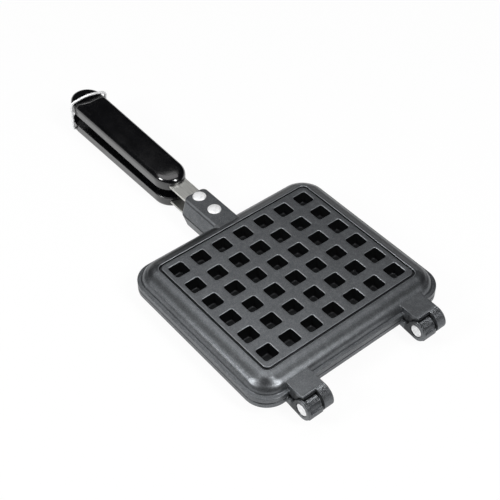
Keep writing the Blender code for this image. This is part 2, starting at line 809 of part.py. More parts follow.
def build():
    clear_scene()
    coating = material("coating", (0.095, 0.1, 0.105), 0.42, 0.35)
    steel = material("steel", (0.72, 0.72, 0.73), 0.3, 1.0)
    bright = material("bright_steel", (0.85, 0.85, 0.86), 0.18, 1.0)
    black = material("moulded_black", (0.012, 0.012, 0.013), 0.22, 0.0)

    parting = (0, 0, PLATE_DEPTH)
    lower = empty("lower_half", parting)
    hinge = empty("plate_hinge", (0, AXIS_Y, PLATE_DEPTH))
    upper_at = Vector((0, -AXIS_Y, 0))

    for side, half, parent, at in (
        (LOWER, "lower", lower, Vector()),
        (UPPER, "upper", hinge, upper_at),
    ):
        body = plate(side, half + "_plate")
        for left in HINGE_LEFT_X:
            if side == LOWER:
                add_lower_hinge(body, left)
            else:
                add_upper_hinge(body, left)
        cut(body, batter_space("batter_space", side))
        for left in HINGE_LEFT_X:
            cut(body, pin_bore(left))
            if side == LOWER:
                cut(body, pin_seat(left))
        finish(body, half + "_plate", coating, at, parent)

        tang = tang_shape(half + "_tang")
        cut(tang, *[rivet_hole(y, UPPER) for y in RIVET_Y], screw_bore())
        grip = handle_shape(half + "_handle")
        cut(grip, tang_slot("tang_slot"), screw_seat(), screw_bore())
        screw = screw_shape(half + "_handle_screw")
        rivets = [rivet_shape(half + "_rivet") for _ in RIVET_Y]
        if side == LOWER:
            for piece in (tang, grip, screw, *rivets):
                flipped(piece)
            cut(grip, *bail_bore())
            screw_h = -TANG_IN_H
        else:
            bent_up(tang)
            bent_up(grip)
            bent_up(screw, SCREW_Y)
            screw_h = TANG_IN_H + rise(SCREW_Y)
        finish(tang, half + "_tang", steel, at, parent)
        finish(grip, half + "_handle", black, at, parent)
        finish(
            screw, half + "_handle_screw", steel,
            at + Vector((0, SCREW_Y, screw_h)), parent,
        )
        for rivet, y, place in zip(rivets, RIVET_Y, ("front", "rear")):
            finish(
                rivet, half + "_rivet_" + place, bright,
                at + Vector((0, y, side * LUG_TOP_H)), parent,
            )

    for left, place in zip(HINGE_LEFT_X, ("left", "right")):
        pin = pin_shape("hinge_pin_" + place)
        finish(pin, "hinge_pin_" + place, bright, (left, AXIS_Y, 0), lower)

    bail = bail_shape("handle_bail")
    bail.data.materials.append(bright)
    bail.location = (0, BAIL_Y, BAIL_H)
    bail.parent = lower


build()
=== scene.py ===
"""Stovetop waffle iron: the finer shape and the finish of each piece, and the stage it is shown on.

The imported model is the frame. Its nodes stay where they are, and each finer piece made here
takes the place of one or more of them. Metres, +Z up. Heights called h are measured from the
parting plane between the plates, outward.
"""

import math
import json

import bmesh
import bpy
from mathutils import Matrix, Vector


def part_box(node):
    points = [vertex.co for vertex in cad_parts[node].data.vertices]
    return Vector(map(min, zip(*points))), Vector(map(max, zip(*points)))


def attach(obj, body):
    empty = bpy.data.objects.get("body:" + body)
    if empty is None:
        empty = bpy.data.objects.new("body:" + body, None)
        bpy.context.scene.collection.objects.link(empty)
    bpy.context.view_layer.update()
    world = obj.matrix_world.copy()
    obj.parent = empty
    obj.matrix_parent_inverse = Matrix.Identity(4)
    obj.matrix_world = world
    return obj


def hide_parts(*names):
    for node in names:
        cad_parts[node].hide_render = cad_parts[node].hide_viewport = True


bl_info = {
    "name": "Stovetop Waffle Iron",
    "version": (1, 0, 0),
    "blender": (4, 5, 0),
    "location": "View3D > Sidebar > Waffle Iron",
    "description": "Makes the plates, handles, fixings and bail of a waffle iron, and its stage",
    "category": "Add Mesh",
}

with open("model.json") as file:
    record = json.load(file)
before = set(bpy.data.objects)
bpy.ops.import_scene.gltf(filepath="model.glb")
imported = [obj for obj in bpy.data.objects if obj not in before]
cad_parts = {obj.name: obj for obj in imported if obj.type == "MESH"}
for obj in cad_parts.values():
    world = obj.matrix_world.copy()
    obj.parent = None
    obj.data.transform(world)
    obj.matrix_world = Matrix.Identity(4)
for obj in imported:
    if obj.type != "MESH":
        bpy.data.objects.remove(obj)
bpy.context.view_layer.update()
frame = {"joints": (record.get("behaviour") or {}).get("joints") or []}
JOINTS = {joint["name"]: joint for joint in frame["joints"]}
PARTING = JOINTS["plate_hinge"]["pos_m"][2]
AXIS_Y = JOINTS["plate_hinge"]["pos_m"][1]
PIVOT = Vector(JOINTS["bail_swing"]["pos_m"])
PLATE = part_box("upper_plate")
LUG_END_Y = PLATE[1].y
PINS = (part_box("hinge_pin_left"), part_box("hinge_pin_right"))
RIVETS = (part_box("upper_rivet_front"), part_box("upper_rivet_rear"))
FACE_H = PLATE[1].z - PARTING
SIDES = {"upper": 1, "lower": -1}
GAP = 0.0003  # clearance between two pieces
PANEL_THICK = 0.0030
RIVET_BORE, SCREW_BORE, PIN_BORE = 0.0028, 0.0018, 0.0033  # radii
PIN_SEAT, PIN_SUNK, PIN_HEAD_THICK = 0.0048, 0.0002, 0.0011
QUARTER, HALF_TURN, TURN = math.pi / 2, math.pi, 2 * math.pi
RING_WELD, POLE_WELD = 2e-6, 1e-7  # how near two points are one


def straight_box(node):
    """A lower piece's box as (low, high) on the upper side, before the upper tang is bent."""
    low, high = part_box(node)
    return (
        Vector((low.x, low.y, 2 * PARTING - high.z)),
        Vector((high.x, high.y, 2 * PARTING - low.z)),
    )


GRIP = straight_box("lower_handle")
TANG = straight_box("lower_tang")
SCREW = straight_box("lower_handle_screw")
SCREW_Y = (SCREW[0].y + SCREW[1].y) / 2
TANG_IN, TANG_OUT = TANG[0].z - PARTING, TANG[1].z - PARTING
TANG_SLOT = TANG[1].x + GAP  # half the width of the channel it lies in
RIVET_YS = [(low.y + high.y) / 2 for low, high in RIVETS]


# ---- settings


def length(name, default, description):
    return bpy.props.FloatProperty(
        name=name, default=default, description=description, subtype="DISTANCE",
        unit="LENGTH", precision=5,
    )


def strength(name, description):
    return bpy.props.FloatProperty(
        name=name, default=1.0, description=description, min=0.0, max=10.0,
    )


def count(name, default, description):
    return bpy.props.IntProperty(name=name, default=default, description=description, min=1)


def colour(name, default, description):
    return bpy.props.FloatVectorProperty(
        name=name, default=default, description=description, subtype="COLOR",
        size=3, min=0.0, max=1.0,
    )


class CastingSettings(bpy.types.PropertyGroup):
    pitch: length("Pitch", 0.0185, "From one pocket to the next")
    columns: count("Columns", 7, "Pockets along the hinge")
    rows: count("Rows", 6, "Pockets from the hinge to the handle")
    mouth: length("Pocket mouth", 0.0114, "Width of a pocket in the panel's face")
    floor: length("Pocket floor", 0.0082, "Width of a pocket's floor")
    depth: length("Pocket depth", 0.0085, "Depth of a pocket")
    pocket_corner: length("Pocket corner", 0.0015, "Radius of a pocket's upright corners")
    lip: length("Pocket lip", 0.0005, "Rounding of a pocket's edge")
    stud_base: length("Stud base", 0.0136, "Width of a stud where it stands on the roof")
    stud_tip: length("Stud tip", 0.0106, "Width of a stud's tip")
    stud_gap: length("Stud gap", 0.0060, "Between facing studs when the iron is shut")
    skin: length("Panel thickness", PANEL_THICK, "Metal between the panel's face and the roof")
    corner_steps: count("Corner steps", 20, "Facets in each rounded corner of the plate")
    rounding: length("Edge rounding", 0.00045, "Radius the finish gives to every edge")


class HandleSettings(bpy.types.PropertyGroup):
    edge: length("Edge radius", 0.0043, "Rounding of the handle's outer edge")
    crown: length("Crown", 0.00025, "Rise of the outer face between its edges")
    nose: length("Nose length", 0.0150, "Length of the rounded front end")
    nose_slope: length("Nose slope", 0.0060, "How far the nose draws back as its edge rounds over")
    end: length("End length", 0.0155, "Length of the rounded rear end")
    end_slope: length("End slope", 0.0065, "How far the end draws back as its edge rounds over")
    rise: length("Rise", 0.0030, "How far the bent upper tang raises its handle's rear end")
    taper: length("Front taper", 0.0014, "How much narrower the front is")
    steps: count("Steps", 12, "Facets in the edge's rounding")


class FixingSettings(bpy.types.PropertyGroup):
    rivet_head: length("Rivet head", 0.0100, "Width of a rivet's head")
    rivet_shank: length("Rivet shank", 0.0050, "Width of a rivet's shank")
    pin_head: length("Pin head", 0.0090, "Width of a hinge pin's head")
    pin_shaft: length("Pin shaft", 0.0060, "Width of a hinge pin")
    screw_slot: length("Screw slot", 0.0009, "Width of the slot in a handle screw")


class BailSettings(bpy.types.PropertyGroup):
    wire: length("Wire", 0.0020, "Diameter of the wire")
    width: length("Width", 0.0302, "Between the middles of the two legs")
    lean: length("Lean", 0.0032, "How far the crossbar stands ahead of the pivot")
    skew: length("Skew", 0.0018, "How far each shoulder is from the middle, ahead or behind")
    arch: length("Arch", 0.0018, "Rise in the middle of the crossbar")
    bend: length("Bend", 0.0045, "Radius of the two upper bends")
    foot_bend: length("Foot bend", 0.0021, "Radius of the two lower bends")


class FinishSettings(bpy.types.PropertyGroup):
    coating: colour("Coating", (0.134, 0.141, 0.149), "Non-stick coating on the plates")
    steel: colour("Tang steel", (0.66, 0.66, 0.63), "Flat strips and handle screws")
    bright: colour("Bright steel", (0.92, 0.925, 0.93), "Rivets, hinge pins and wire")
    black: colour("Handle black", (0.0035, 0.0036, 0.0042), "Moulded handles")


class StageSettings(bpy.types.PropertyGroup):
    floor: colour("Floor", (0.90, 0.90, 0.90), "Floor and backdrop")
    key: strength("Key lights", "Strength of the two key lights")
    top: strength("Top light", "Strength of the light overhead")
    fill: strength("Fill", "Strength of the light from all round")


GROUPS = {
    "iron_casting": CastingSettings,
    "iron_handle": HandleSettings,
    "iron_fixing": FixingSettings,
    "iron_bail": BailSettings,
    "iron_finish": FinishSettings,
    "iron_stage": StageSettings,
}


# ---- node writing


class Term:
    """A socket in a node tree, so that maths on it reads as a plain expression."""

    def __init__(self, tree, socket):
        self.tree = tree
        self.socket = socket

    def maths(self, operation, *operands):
        made = self.tree.nodes.new("ShaderNodeMath")
        made.operation = operation
        for socket, value in zip(made.inputs, operands):
            feed(self.tree, socket, value)
        return Term(self.tree, made.outputs[0])

    def __add__(self, other):
        return self.maths("ADD", self, other)

    def __sub__(self, other):
        return self.maths("SUBTRACT", self, other)

    def __mul__(self, other):
        return self.maths("MULTIPLY", self, other)

    __radd__ = __add__
    __rmul__ = __mul__


def feed(tree, socket, value):
    """Links a socket to a term, or sets its constant."""
    if isinstance(value, Term):
        tree.links.new(value.socket, socket)
    else:
        socket.default_value = value


class Nodes:
    """Writes the nodes of one tree."""

    def __init__(self, tree):
        self.tree = tree

    def node(self, kind, values=None, output=0, **settings):
        """Adds a node of a type, sets its settings, then its sockets from numbers or links."""
        made = self.tree.nodes.new(kind)
        for key, value in settings.items():
            setattr(made, key, value)
        for key, value in (values or {}).items():
            feed(self.tree, made.inputs[key], value)
        return Term(self.tree, made.outputs[output])

    def span(self, value, low, high, to_low=0.0, to_high=1.0, ease="SMOOTHSTEP"):
        """Goes from one share to another while a value goes from low to high."""
        return self.node("ShaderNodeMapRange", {
            "Value": value, "From Min": low, "From Max": high, "To Min": to_low, "To Max": to_high,
        }, clamp=True, interpolation_type=ease)

    def ray(self, kind):
        return self.node("ShaderNodeLightPath", output=f"Is {kind} Ray")

    def seen(self, share):
        """A share for what the camera sees, straight or through something clear."""
        straight, through = self.ray("Camera"), self.ray("Transmission")
        return straight.maths("MAXIMUM", straight, through) * share


class Finish(Nodes):
    """A material on the Principled shader."""

    def __init__(self, name):
        self.material = bpy.data.materials.new(name)
        self.material.use_nodes = True
        super().__init__(self.material.node_tree)
        self.shader = self.tree.nodes["Principled BSDF"]
        self.place = self.node("ShaderNodeTexCoord", output="Object")

    def noise(self, scale, detail, roughness=0.5):
        """Noise of one scale, or of a scale for each axis."""
        place = self.place
        if isinstance(scale, tuple):
            place, scale = self.node("ShaderNodeMapping", {"Vector": place, "Scale": scale}), 1.0
        return self.node("ShaderNodeTexNoise", {
            "Vector": place, "Scale": scale, "Detail": detail, "Roughness": roughness,
        })

    def band(self, value, low, high, ease_in, ease_out):
        """A mask of a value between low and high, with an eased start and end."""
        return self.span(value, low, low + ease_in) - self.span(value, high - ease_out, high)

    def mix(self, share, first, second):
        """Colours mixed by a share; the sockets 6 and 7 of the node are its two colours."""
        colours = [
            value if isinstance(value, Term) else (*value, 1.0) for value in (first, second)
        ]
        return self.node(
            "ShaderNodeMix", {"Factor": share, 6: colours[0], 7: colours[1]},
            output=2, data_type="RGBA",
        )

    def layered(self, colour, start, *layers):
        """A colour at a first brightness, changed in turn by layers of (mask, brightness)."""
        tone = Vector(colour) * start
        for mask, brightness in layers:
            tone = self.mix(mask, tone, Vector(colour) * brightness)
        return tone

    def edges(self, radius):
        """The rounded normal, and a mask of the edges where it leaves the flat one."""
        rounded = self.node("ShaderNodeBevel", {"Radius": radius}, samples=6)
        flat = self.node("ShaderNodeNewGeometry", output="Normal")
        agree = self.node(
            "ShaderNodeVectorMath", {0: rounded, 1: flat}, output="Value", operation="DOT_PRODUCT",
        )
        barely, fully = 0.985, 0.80
        return rounded, self.span(agree, barely, fully)

    def bump(self, height, depth, strength=1.0, normal=None):
        values = {"Height": height, "Distance": depth, "Strength": strength}
        if normal:
            values["Normal"] = normal
        return self.node("ShaderNodeBump", values)

    def set(self, **sockets):
        for key, value in sockets.items():
            feed(self.tree, self.shader.inputs[key.replace("_", " ")], value)
        return self.material

    def surface(self, tone, rough, normal, metallic, **more):
        return self.set(
            Base_Color=tone, Roughness=rough, Normal=normal, Metallic=metallic, **more,
        )


class Recipe(Nodes):
    """A geometry tree with named inputs, run once to make a plain mesh."""

    def __init__(self, name, **kinds):
        super().__init__(bpy.data.node_groups.new(name, "GeometryNodeTree"))
        start = self.tree.nodes.new("NodeGroupInput")
        self.names = {
            key: self.socket(key, kind, "INPUT")
            for key, kind in {"Geometry": "Geometry", **kinds, "Finish": "Material"}.items()
        }
        self.given = {key: Term(self.tree, start.outputs[key]) for key in self.names}

    def socket(self, name, kind, way):
        made = self.tree.interface.new_socket(
            name, in_out=way, socket_type="NodeSocket" + kind,
        )
        return made.identifier

    def finish(self, shape):
        """Every recipe ends in plain geometry with its material set."""
        real = self.node("GeometryNodeRealizeInstances", {"Geometry": shape})
        painted = self.node(
            "GeometryNodeSetMaterial", {"Geometry": real, "Material": self.given["Finish"]},
        )
        self.socket("Geometry", "Geometry", "OUTPUT")
        end = self.tree.nodes.new("NodeGroupOutput")
        self.tree.links.new(painted.socket, end.inputs[0])
        return self

    def copies(self, points, **more):
        """Sets the given shape on every point."""
        info = self.node(
            "GeometryNodeObjectInfo", {"Object": self.given["Shape"]}, output="Geometry",
        )
        return self.finish(self.node(
            "GeometryNodeInstanceOnPoints", {"Points": points, "Instance": info, **more},
        ))

    def run(self, name, data, **values):
        """Runs the tree on a mesh or a curve, and returns the mesh it makes."""
        host = new_object(data, name)
        step = host.modifiers.new(name, "NODES")
        step.node_group = self.tree
        for key, value in values.items():
            step[self.names[key.capitalize()]] = value
        mesh = shaped(host)
        if not mesh.polygons:
            raise RuntimeError(f"{name} came out empty")
        return mesh


# ---- shape writing


def arc(radius, start, stop, steps, centre=(0.0, 0.0)):
    x, y = centre
    angles = [start + (stop - start) * i / steps for i in range(steps + 1)]
    return [(x + radius * math.cos(a), y + radius * math.sin(a)) for a in angles]


def quarter(steps, first=0):
    """(sine, cosine) of angles from none to a right one."""
    angles = [QUARTER * i / steps for i in range(first, steps + 1)]
    return [(math.sin(a), math.cos(a)) for a in angles]


def curve(start, pull, push, stop, steps):
    """Points on a smooth curve, without its first."""
    points = []
    for i in range(1, steps + 1):
        t = i / steps
        shares = ((1 - t) ** 3, 3 * t * (1 - t) ** 2, 3 * t * t * (1 - t), t ** 3)
        points.append(tuple(
            sum(share * point[axis] for share, point in zip(shares, (start, pull, push, stop)))
            for axis in (0, 1)
        ))
    return points


def corner_round(start, corner, stop):
    """A quarter round between two points, round the corner their sides meet in."""
    pull, push = (
        tuple(end + (mid - end) * 2 / 3 for end, mid in zip(side, corner))
        for side in (start, stop)
    )
    return curve(start, pull, push, stop, 3)


def rounded_rectangle(half_x, half_y, radius, steps):
    points = []
    for turn, (sx, sy) in enumerate(((1, 1), (-1, 1), (-1, -1), (1, -1))):
        centre = (sx * (half_x - radius), sy * (half_y - radius))
        points += arc(radius, turn * QUARTER, (turn + 1) * QUARTER, steps, centre)
    return points


def add_ring(bm, points, h, recess=None):
    """A ring of vertices; its painted shading goes into the mesh's own layer for the finish, above
    0 painted shade and below 0 painted highlight.
    """
    ring = [bm.verts.new((x, y, h)) for x, y in points]
    if recess is not None:
        layer = bm.verts.layers.float["recess"]
        for vert in ring:
            vert[layer] = recess
    return ring


def bridge(bm, *rings):
    """Joins each ring of vertices to the next."""
    for first, second in zip(rings, rings[1:]):
        for corners in zip(first, first[1:] + first[:1], second[1:] + second[:1], second):
            bm.faces.new(corners)


def new_mesh(bm, outward=True):
    if outward:
        bm.normal_update()
        bmesh.ops.recalc_face_normals(bm, faces=bm.faces)
    mesh = bpy.data.meshes.new("shape")
    bm.to_mesh(mesh)
    bm.free()
    return mesh


def new_object(data, name):
    made = bpy.data.objects.new(name, data)
    bpy.context.scene.collection.objects.link(made)
    return made


def shaped(host):
    """The mesh an object's modifiers make; the object goes."""
    bpy.context.view_layer.update()
    done = host.evaluated_get(bpy.context.evaluated_depsgraph_get())
    mesh = bpy.data.meshes.new_from_object(done)
    bpy.data.objects.remove(host)
    return mesh


def loft(rings):
    """A closed skin over rings of points, each given with its height."""
    bm = bmesh.new()
    loops = [add_ring(bm, points, h) for points, h in rings]
    bridge(bm, *loops)
    for end in (loops[0], loops[-1]):
        bm.faces.new(end)
    return new_mesh(bm)


def along_x(profile, start, stop):
    """A solid with the same outline, given as (y, h), from one x to another."""
    bm = bmesh.new()
    ends = [[bm.verts.new((x, y, h)) for y, h in profile] for x in (start, stop)]
    bridge(bm, *ends)
    for end in ends:
        bm.faces.new(end)
    return new_mesh(bm)


def turned(profile, steps):
    """A solid of revolution round the height's axis, from an outline of (radius, height)."""
    bm = bmesh.new()
    verts = [bm.verts.new((radius, 0, height)) for radius, height in profile]
    edges = [bm.edges.new(pair) for pair in zip(verts, verts[1:])]
    bmesh.ops.spin(
        bm, geom=verts + edges, cent=(0, 0, 0), axis=(0, 0, 1),
        angle=TURN, steps=steps, use_merge=True,
    )
    bmesh.ops.remove_doubles(bm, verts=bm.verts, dist=POLE_WELD)
    return new_mesh(bm)


def rod(radius, start, stop, steps=48):
    start, stop = Vector(start), Vector(stop)
    bm = bmesh.new()
    bmesh.ops.create_cone(
        bm, cap_ends=True, segments=steps, radius1=radius, radius2=radius,
        depth=(stop - start).length,
    )
    turn = (stop - start).to_track_quat("Z", "Y").to_matrix().to_4x4()
    bm.transform(Matrix.Translation((start + stop) / 2) @ turn)
    return new_mesh(bm)


def upright(radius, y, top, steps=48):
    return rod(radius, (0, y, 0), (0, y, top), steps)


def axle(radius, start, stop, steps=48):
    """A rod along the hinge's axis, from one x to another."""
    return rod(radius, (start, AXIS_Y, 0), (stop, AXIS_Y, 0), steps)


def box(low, high):
    corners = [(low[0], low[1]), (high[0], low[1]), (high[0], high[1]), (low[0], high[1])]
    return loft([(corners, low[2]), (corners, high[2])])


def modified(mesh, kind, **settings):
    """The mesh after one modifier."""
    host = new_object(mesh, "shaping")
    step = host.modifiers.new(kind, kind)
    for key, value in settings.items():
        setattr(step, key, value)
    return shaped(host)


def cut(mesh, *tools, operation="DIFFERENCE"):
    for tool in tools:
        knife = new_object(tool, "knife")
        mesh = modified(mesh, "BOOLEAN", operation=operation, solver="EXACT", object=knife)
        bpy.data.objects.remove(knife)
    return mesh


def softened(mesh, width):
    return modified(
        mesh, "BEVEL", width=width, segments=2, limit_method="ANGLE",
        angle_limit=math.radians(40), use_clamp_overlap=True,
    )


def gathered(meshes):
    bm = bmesh.new()
    for mesh in meshes:
        bm.from_mesh(mesh)
    return new_mesh(bm, outward=False)


def placed(mesh, side):
    """A drawing in h, set on its side of the parting plane; the lower side is its mirror."""
    if side < 0:
        mesh.transform(Matrix.Diagonal((1, 1, -1, 1)))
        mesh.flip_normals()
    return shifted(mesh)


def shifted(mesh):
    mesh.transform(Matrix.Translation((0, 0, PARTING)))
    return mesh


def bent_up(mesh, side):
    """Raises an upper piece, already in its place, along the bend of its tang."""
    if side < 0:
        return mesh
    slope = bpy.context.scene.iron_handle.rise / (GRIP[1].y - LUG_END_Y)
    bm = bmesh.new()
    bm.from_mesh(mesh)
    bmesh.ops.bisect_plane(
        bm, geom=[*bm.verts, *bm.edges, *bm.faces],
        plane_co=(0, LUG_END_Y, 0), plane_no=(0, 1, 0),
    )
    for vert in bm.verts:
        vert.co.z += slope * max(0.0, vert.co.y - LUG_END_Y)
    return new_mesh(bm, outward=False)


def piece(name, mesh, look, body, slot, *nodes, sharp=38):
    """Turns a mesh, already in its place, into a shown piece that stands for CAD nodes."""
    mesh.materials.clear()
    mesh.materials.append(look)
    mesh.shade_smooth()
    mesh.set_sharp_from_angle(angle=math.radians(sharp))
    mesh = modified(mesh, "WEIGHTED_NORMAL", keep_sharp=True, weight=60)
    mesh.name = name
    made = new_object(mesh, name)
    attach(made, body)
    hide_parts(*nodes)


# ---- castings


SIDE_MARGIN, END_MARGIN = 0.00350, 0.00445  # from the outer pockets to the panel's edge
RIM = 0.0161  # from the panel's edge to the plate's
GROOVE, EDGE, COVE = 0.0015, 0.0004, 0.0016
PANEL_CORNER, RING_CORNER = 0.0038, 0.0046
LAND, WALL_LEAN = 0.0072, 0.0078
OPEN_OFFSET = RIM - LAND
ROOF_OFFSET = OPEN_OFFSET - WALL_LEAN
SEAM_H = 0.00015
LAND_DROP = FACE_H - SEAM_H
CAST_SOFT, EAR_SOFT = 0.0005, 0.0003


def smooth_line(guide, steps):
    """A smooth line through guide points, without its first."""
    line = []
    ends = [guide[0], *guide, guide[-1]]
    for before, start, stop, after in zip(ends, ends[1:], ends[2:], ends[3:]):
        pull = tuple(s + (e - b) / 6 for b, s, e in zip(before, start, stop))
        push = tuple(e - (a - s) / 6 for s, e, a in zip(start, stop, after))
        line += curve(start, pull, push, stop, steps)
    return line


# The groove round the panel as (offset, drop, painted shading): painted shade in it, with a painted
# highlight on the lip outside it.
GROOVE_LINE = (
    (0.0, 0.0007, 0.6), (0.0, 0.0017, 0.7), (0.0002, 0.0019, 0.7), (0.0013, 0.0019, 0.8),
    (0.0015, 0.0017, 1), (0.0015, 0.00075, 1), (0.00154, 0.00062, -0.3),
    (0.00168, 0.00042, -0.8), (0.00188, 0.00033, -0.6),
)
# The rim's slope and shoulder as (offset, drop).
RIM_GUIDE = (
    (0.0021, 0.00040), (0.0030, 0.00078), (0.0040, 0.00122), (0.0050, 0.00168),
    (0.0060, 0.00216), (0.0070, 0.00264), (0.0079, 0.00309), (0.0087, 0.00351),
    (0.0095, 0.00401), (0.0105, 0.00468), (0.0115, 0.00555), (0.0123, 0.00655),
    (0.0130, 0.00783), (0.0134, 0.00895), (0.0136, 0.0099),
)
LEDGE_DROP, LEDGE_START = 0.0104, 0.0142
# Bands of the rim as (middle, half width, painted shading): painted shade in its crease, a painted
# highlight on the crest inside it.
RIM_BANDS = ((0.0076, 0.0027, 0.5), (0.0038, 0.0013, -0.24))
# Painted shade on the ledge and at the rim's foot by the seam, and a painted highlight on the
# panel's edge.
LEDGE_SHADE, FOOT_SHADE, PANEL_EDGE_HIGHLIGHT = 0.15, 0.6, -0.7
# The rim's corner radius by share of its width.
CORNERS = ((0.0, RING_CORNER), (0.28, 0.0070), (0.62, 0.0150), (0.85, 0.0164), (1.0, 0.0170))


# The rim's painted shading at an offset: painted shade on the ledge and crease, a painted highlight
# on the crest.
def rim_painted_shading(offset):
    recess = LEDGE_SHADE if offset > RIM_GUIDE[-1][0] else 0.0
    for middle, reach, depth in RIM_BANDS:
        recess += depth * max(0.0, 1.0 - ((offset - middle) / reach) ** 2)
    return recess


def rim_profile():
    """The outer edge as (offset from the panel's edge, drop below its face, painted shading)."""
    lip = corner_round((-EDGE, 0), (0, 0), (0, EDGE))
    edge, drop = RIM_GUIDE[-1][0], LEDGE_DROP
    slope = smooth_line(RIM_GUIDE, 4)
    slope += curve(RIM_GUIDE[-1], (edge, 0.0102), (0.0138, drop), (LEDGE_START, drop), 3)
    slope += [(RIM - EDGE, drop)]
    slope += corner_round((RIM - EDGE, drop), (RIM, drop), (RIM, drop + EDGE))
    slope += [(RIM, LAND_DROP - EDGE - 0.0002)]
    foot = [(RIM, LAND_DROP - EDGE)]
    foot += corner_round(foot[0], (RIM, LAND_DROP), (RIM - EDGE, LAND_DROP))
    return [
        (-EDGE, 0.0, 0), *((*at, PANEL_EDGE_HIGHLIGHT) for at in lip), *GROOVE_LINE,
        (*RIM_GUIDE[0], 0), *((*at, rim_painted_shading(at[0])) for at in slope),
        *((*at, FOOT_SHADE) for at in foot),
    ]


def cavity_profile(roof):
    """The hollow on the cooking side as (offset, drop, painted shading), from the land to the roof.
    """
    points = [(OPEN_OFFSET + EDGE, LAND_DROP)]
    points += curve(
        points[-1], (OPEN_OFFSET + EDGE / 2, LAND_DROP),
        (OPEN_OFFSET, LAND_DROP - EDGE / 3), (OPEN_OFFSET - EDGE / 2, LAND_DROP - EDGE), 3,
    )
    points += [(ROOF_OFFSET + COVE, roof + COVE)]
    points += curve(
        points[-1], (ROOF_OFFSET + COVE / 2, roof + COVE / 3),
        (ROOF_OFFSET + COVE / 4, roof), (ROOF_OFFSET - COVE / 4, roof), 4,
    )
    return [(*at, 0) for at in points]


def corner_radius(offset):
    if offset <= 0:
        return PANEL_CORNER + offset
    if offset < GROOVE:
        return PANEL_CORNER + (RING_CORNER - PANEL_CORNER) * offset / GROOVE
    share = (offset - GROOVE) / (RIM - GROOVE)
    for (low, first), (high, last) in zip(CORNERS, CORNERS[1:]):
        if share <= high:
            return first + (last - first) * (share - low) / (high - low)
    return CORNERS[-1][1]


def pit(width, floor_width, corner, lip, depth, cove, recess):
    """One pit below the plane h = 0, open at the top, with a rounded lip and floor.

    Its levels are (half width, corner radius, drop, painted shading): a painted highlight on a
    pocket's lip, painted shade down its walls and floor.
    """
    half, floor = width / 2, floor_width / 2
    slope = (half - floor) / depth
    shade = lip + 0.0003
    levels = [
        (half + lip * 0.75, corner + lip, 0.0, 0),
        (half + lip * 0.30, corner + lip * 0.6, lip * 0.12, -recess),
        (half + lip * 0.05, corner + lip * 0.2, lip * 0.42, -recess),
        (half - slope * lip, corner, lip, recess * 0.4),
        (half - slope * shade, corner, shade, recess),
        (half - slope * (depth - cove), corner, depth - cove, recess),
        (floor - cove * 0.25, corner, depth - cove * 0.30, recess),
        (floor - cove, corner * 0.8, depth, recess),
    ]
    bm = bmesh.new()
    bm.verts.layers.float.new("recess")
    outlines = [rounded_rectangle(reach, reach, radius, 4) for reach, radius, *_ in levels]
    loops = [
        add_ring(bm, outline, -drop, share)
        for outline, (*_, drop, share) in zip(outlines, levels)
    ]
    bridge(bm, *loops)
    bm.faces.new(loops[-1])
    return new_mesh(bm, outward=False), outlines[0]


def grid_recipe():
    """Sets one shape on every place of a grid."""
    recipe = Recipe(
        "pocket_grid", Columns="Int", Rows="Int", Pitch="Float", Height="Float", Shape="Object",
    )
    columns, rows, pitch = (recipe.given[key] for key in ("Columns", "Rows", "Pitch"))
    grid = recipe.node("GeometryNodeMeshGrid", {
        "Size X": (columns - 1) * pitch, "Size Y": (rows - 1) * pitch,
        "Vertices X": columns, "Vertices Y": rows,
    })
    lift = recipe.node("ShaderNodeCombineXYZ", {"Z": recipe.given["Height"]})
    raised = recipe.node("GeometryNodeTransform", {"Geometry": grid, "Translation": lift})
    return recipe.copies(raised)


def close_with_pits(bm, border, outline, places, h):
    """Fills a ring with a flat face that is open at each pit's outline."""
    edges = [bm.edges.get(pair) for pair in zip(border[-1:] + border, border)]
    for cx, cy in places:
        ring = add_ring(bm, [(cx + x, cy + y) for x, y in outline], h)
        edges += [bm.edges.new(pair) for pair in zip(ring[-1:] + ring, ring)]
    bmesh.ops.triangle_fill(bm, edges=edges, use_beauty=True)


def plate_shell(s, recipe, look):
    """The plate without its lugs, one closed skin: panel, rim, land, hollow and studs."""
    half_x = ((s.columns - 1) * s.pitch + s.mouth) / 2 + SIDE_MARGIN
    half_y = ((s.rows - 1) * s.pitch + s.mouth) / 2 + END_MARGIN
    places = [
        ((c - (s.columns - 1) / 2) * s.pitch, (r - (s.rows - 1) / 2) * s.pitch)
        for r in range(s.rows) for c in range(s.columns)
    ]
    roof_h = FACE_H - s.skin
    pocket, pocket_edge = pit(
        s.mouth, s.floor, s.pocket_corner, s.lip, s.depth, cove=0.0008, recess=1,
    )
    stud, stud_edge = pit(
        s.stud_base, s.stud_tip, corner=0.0018, lip=0.0009, depth=roof_h - s.stud_gap / 2,
        cove=0.0009, recess=0,
    )
    bm = bmesh.new()
    bm.verts.layers.float.new("recess")

    def ring(offset, drop, recess):
        radius = corner_radius(offset)
        outline = rounded_rectangle(half_x + offset, half_y + offset, radius, s.corner_steps)
        return add_ring(bm, outline, FACE_H - drop, recess)

    outside = [ring(*at) for at in rim_profile()]
    inside = [ring(*at) for at in cavity_profile(s.skin)]
    bridge(bm, *outside, *inside)
    close_with_pits(bm, outside[0], pocket_edge, places, FACE_H)
    close_with_pits(bm, inside[-1], stud_edge, places, roof_h)
    for mesh, h in ((pocket, FACE_H), (stud, roof_h)):
        shape = new_object(mesh, "pit_shape")
        filled = recipe.run(
            "pits", bpy.data.meshes.new("start"), columns=s.columns, rows=s.rows,
            pitch=s.pitch, height=h, shape=shape, finish=look,
        )
        bm.from_mesh(filled)
        bpy.data.objects.remove(shape)
    bmesh.ops.remove_doubles(bm, verts=bm.verts, dist=RING_WELD)
    return new_mesh(bm)


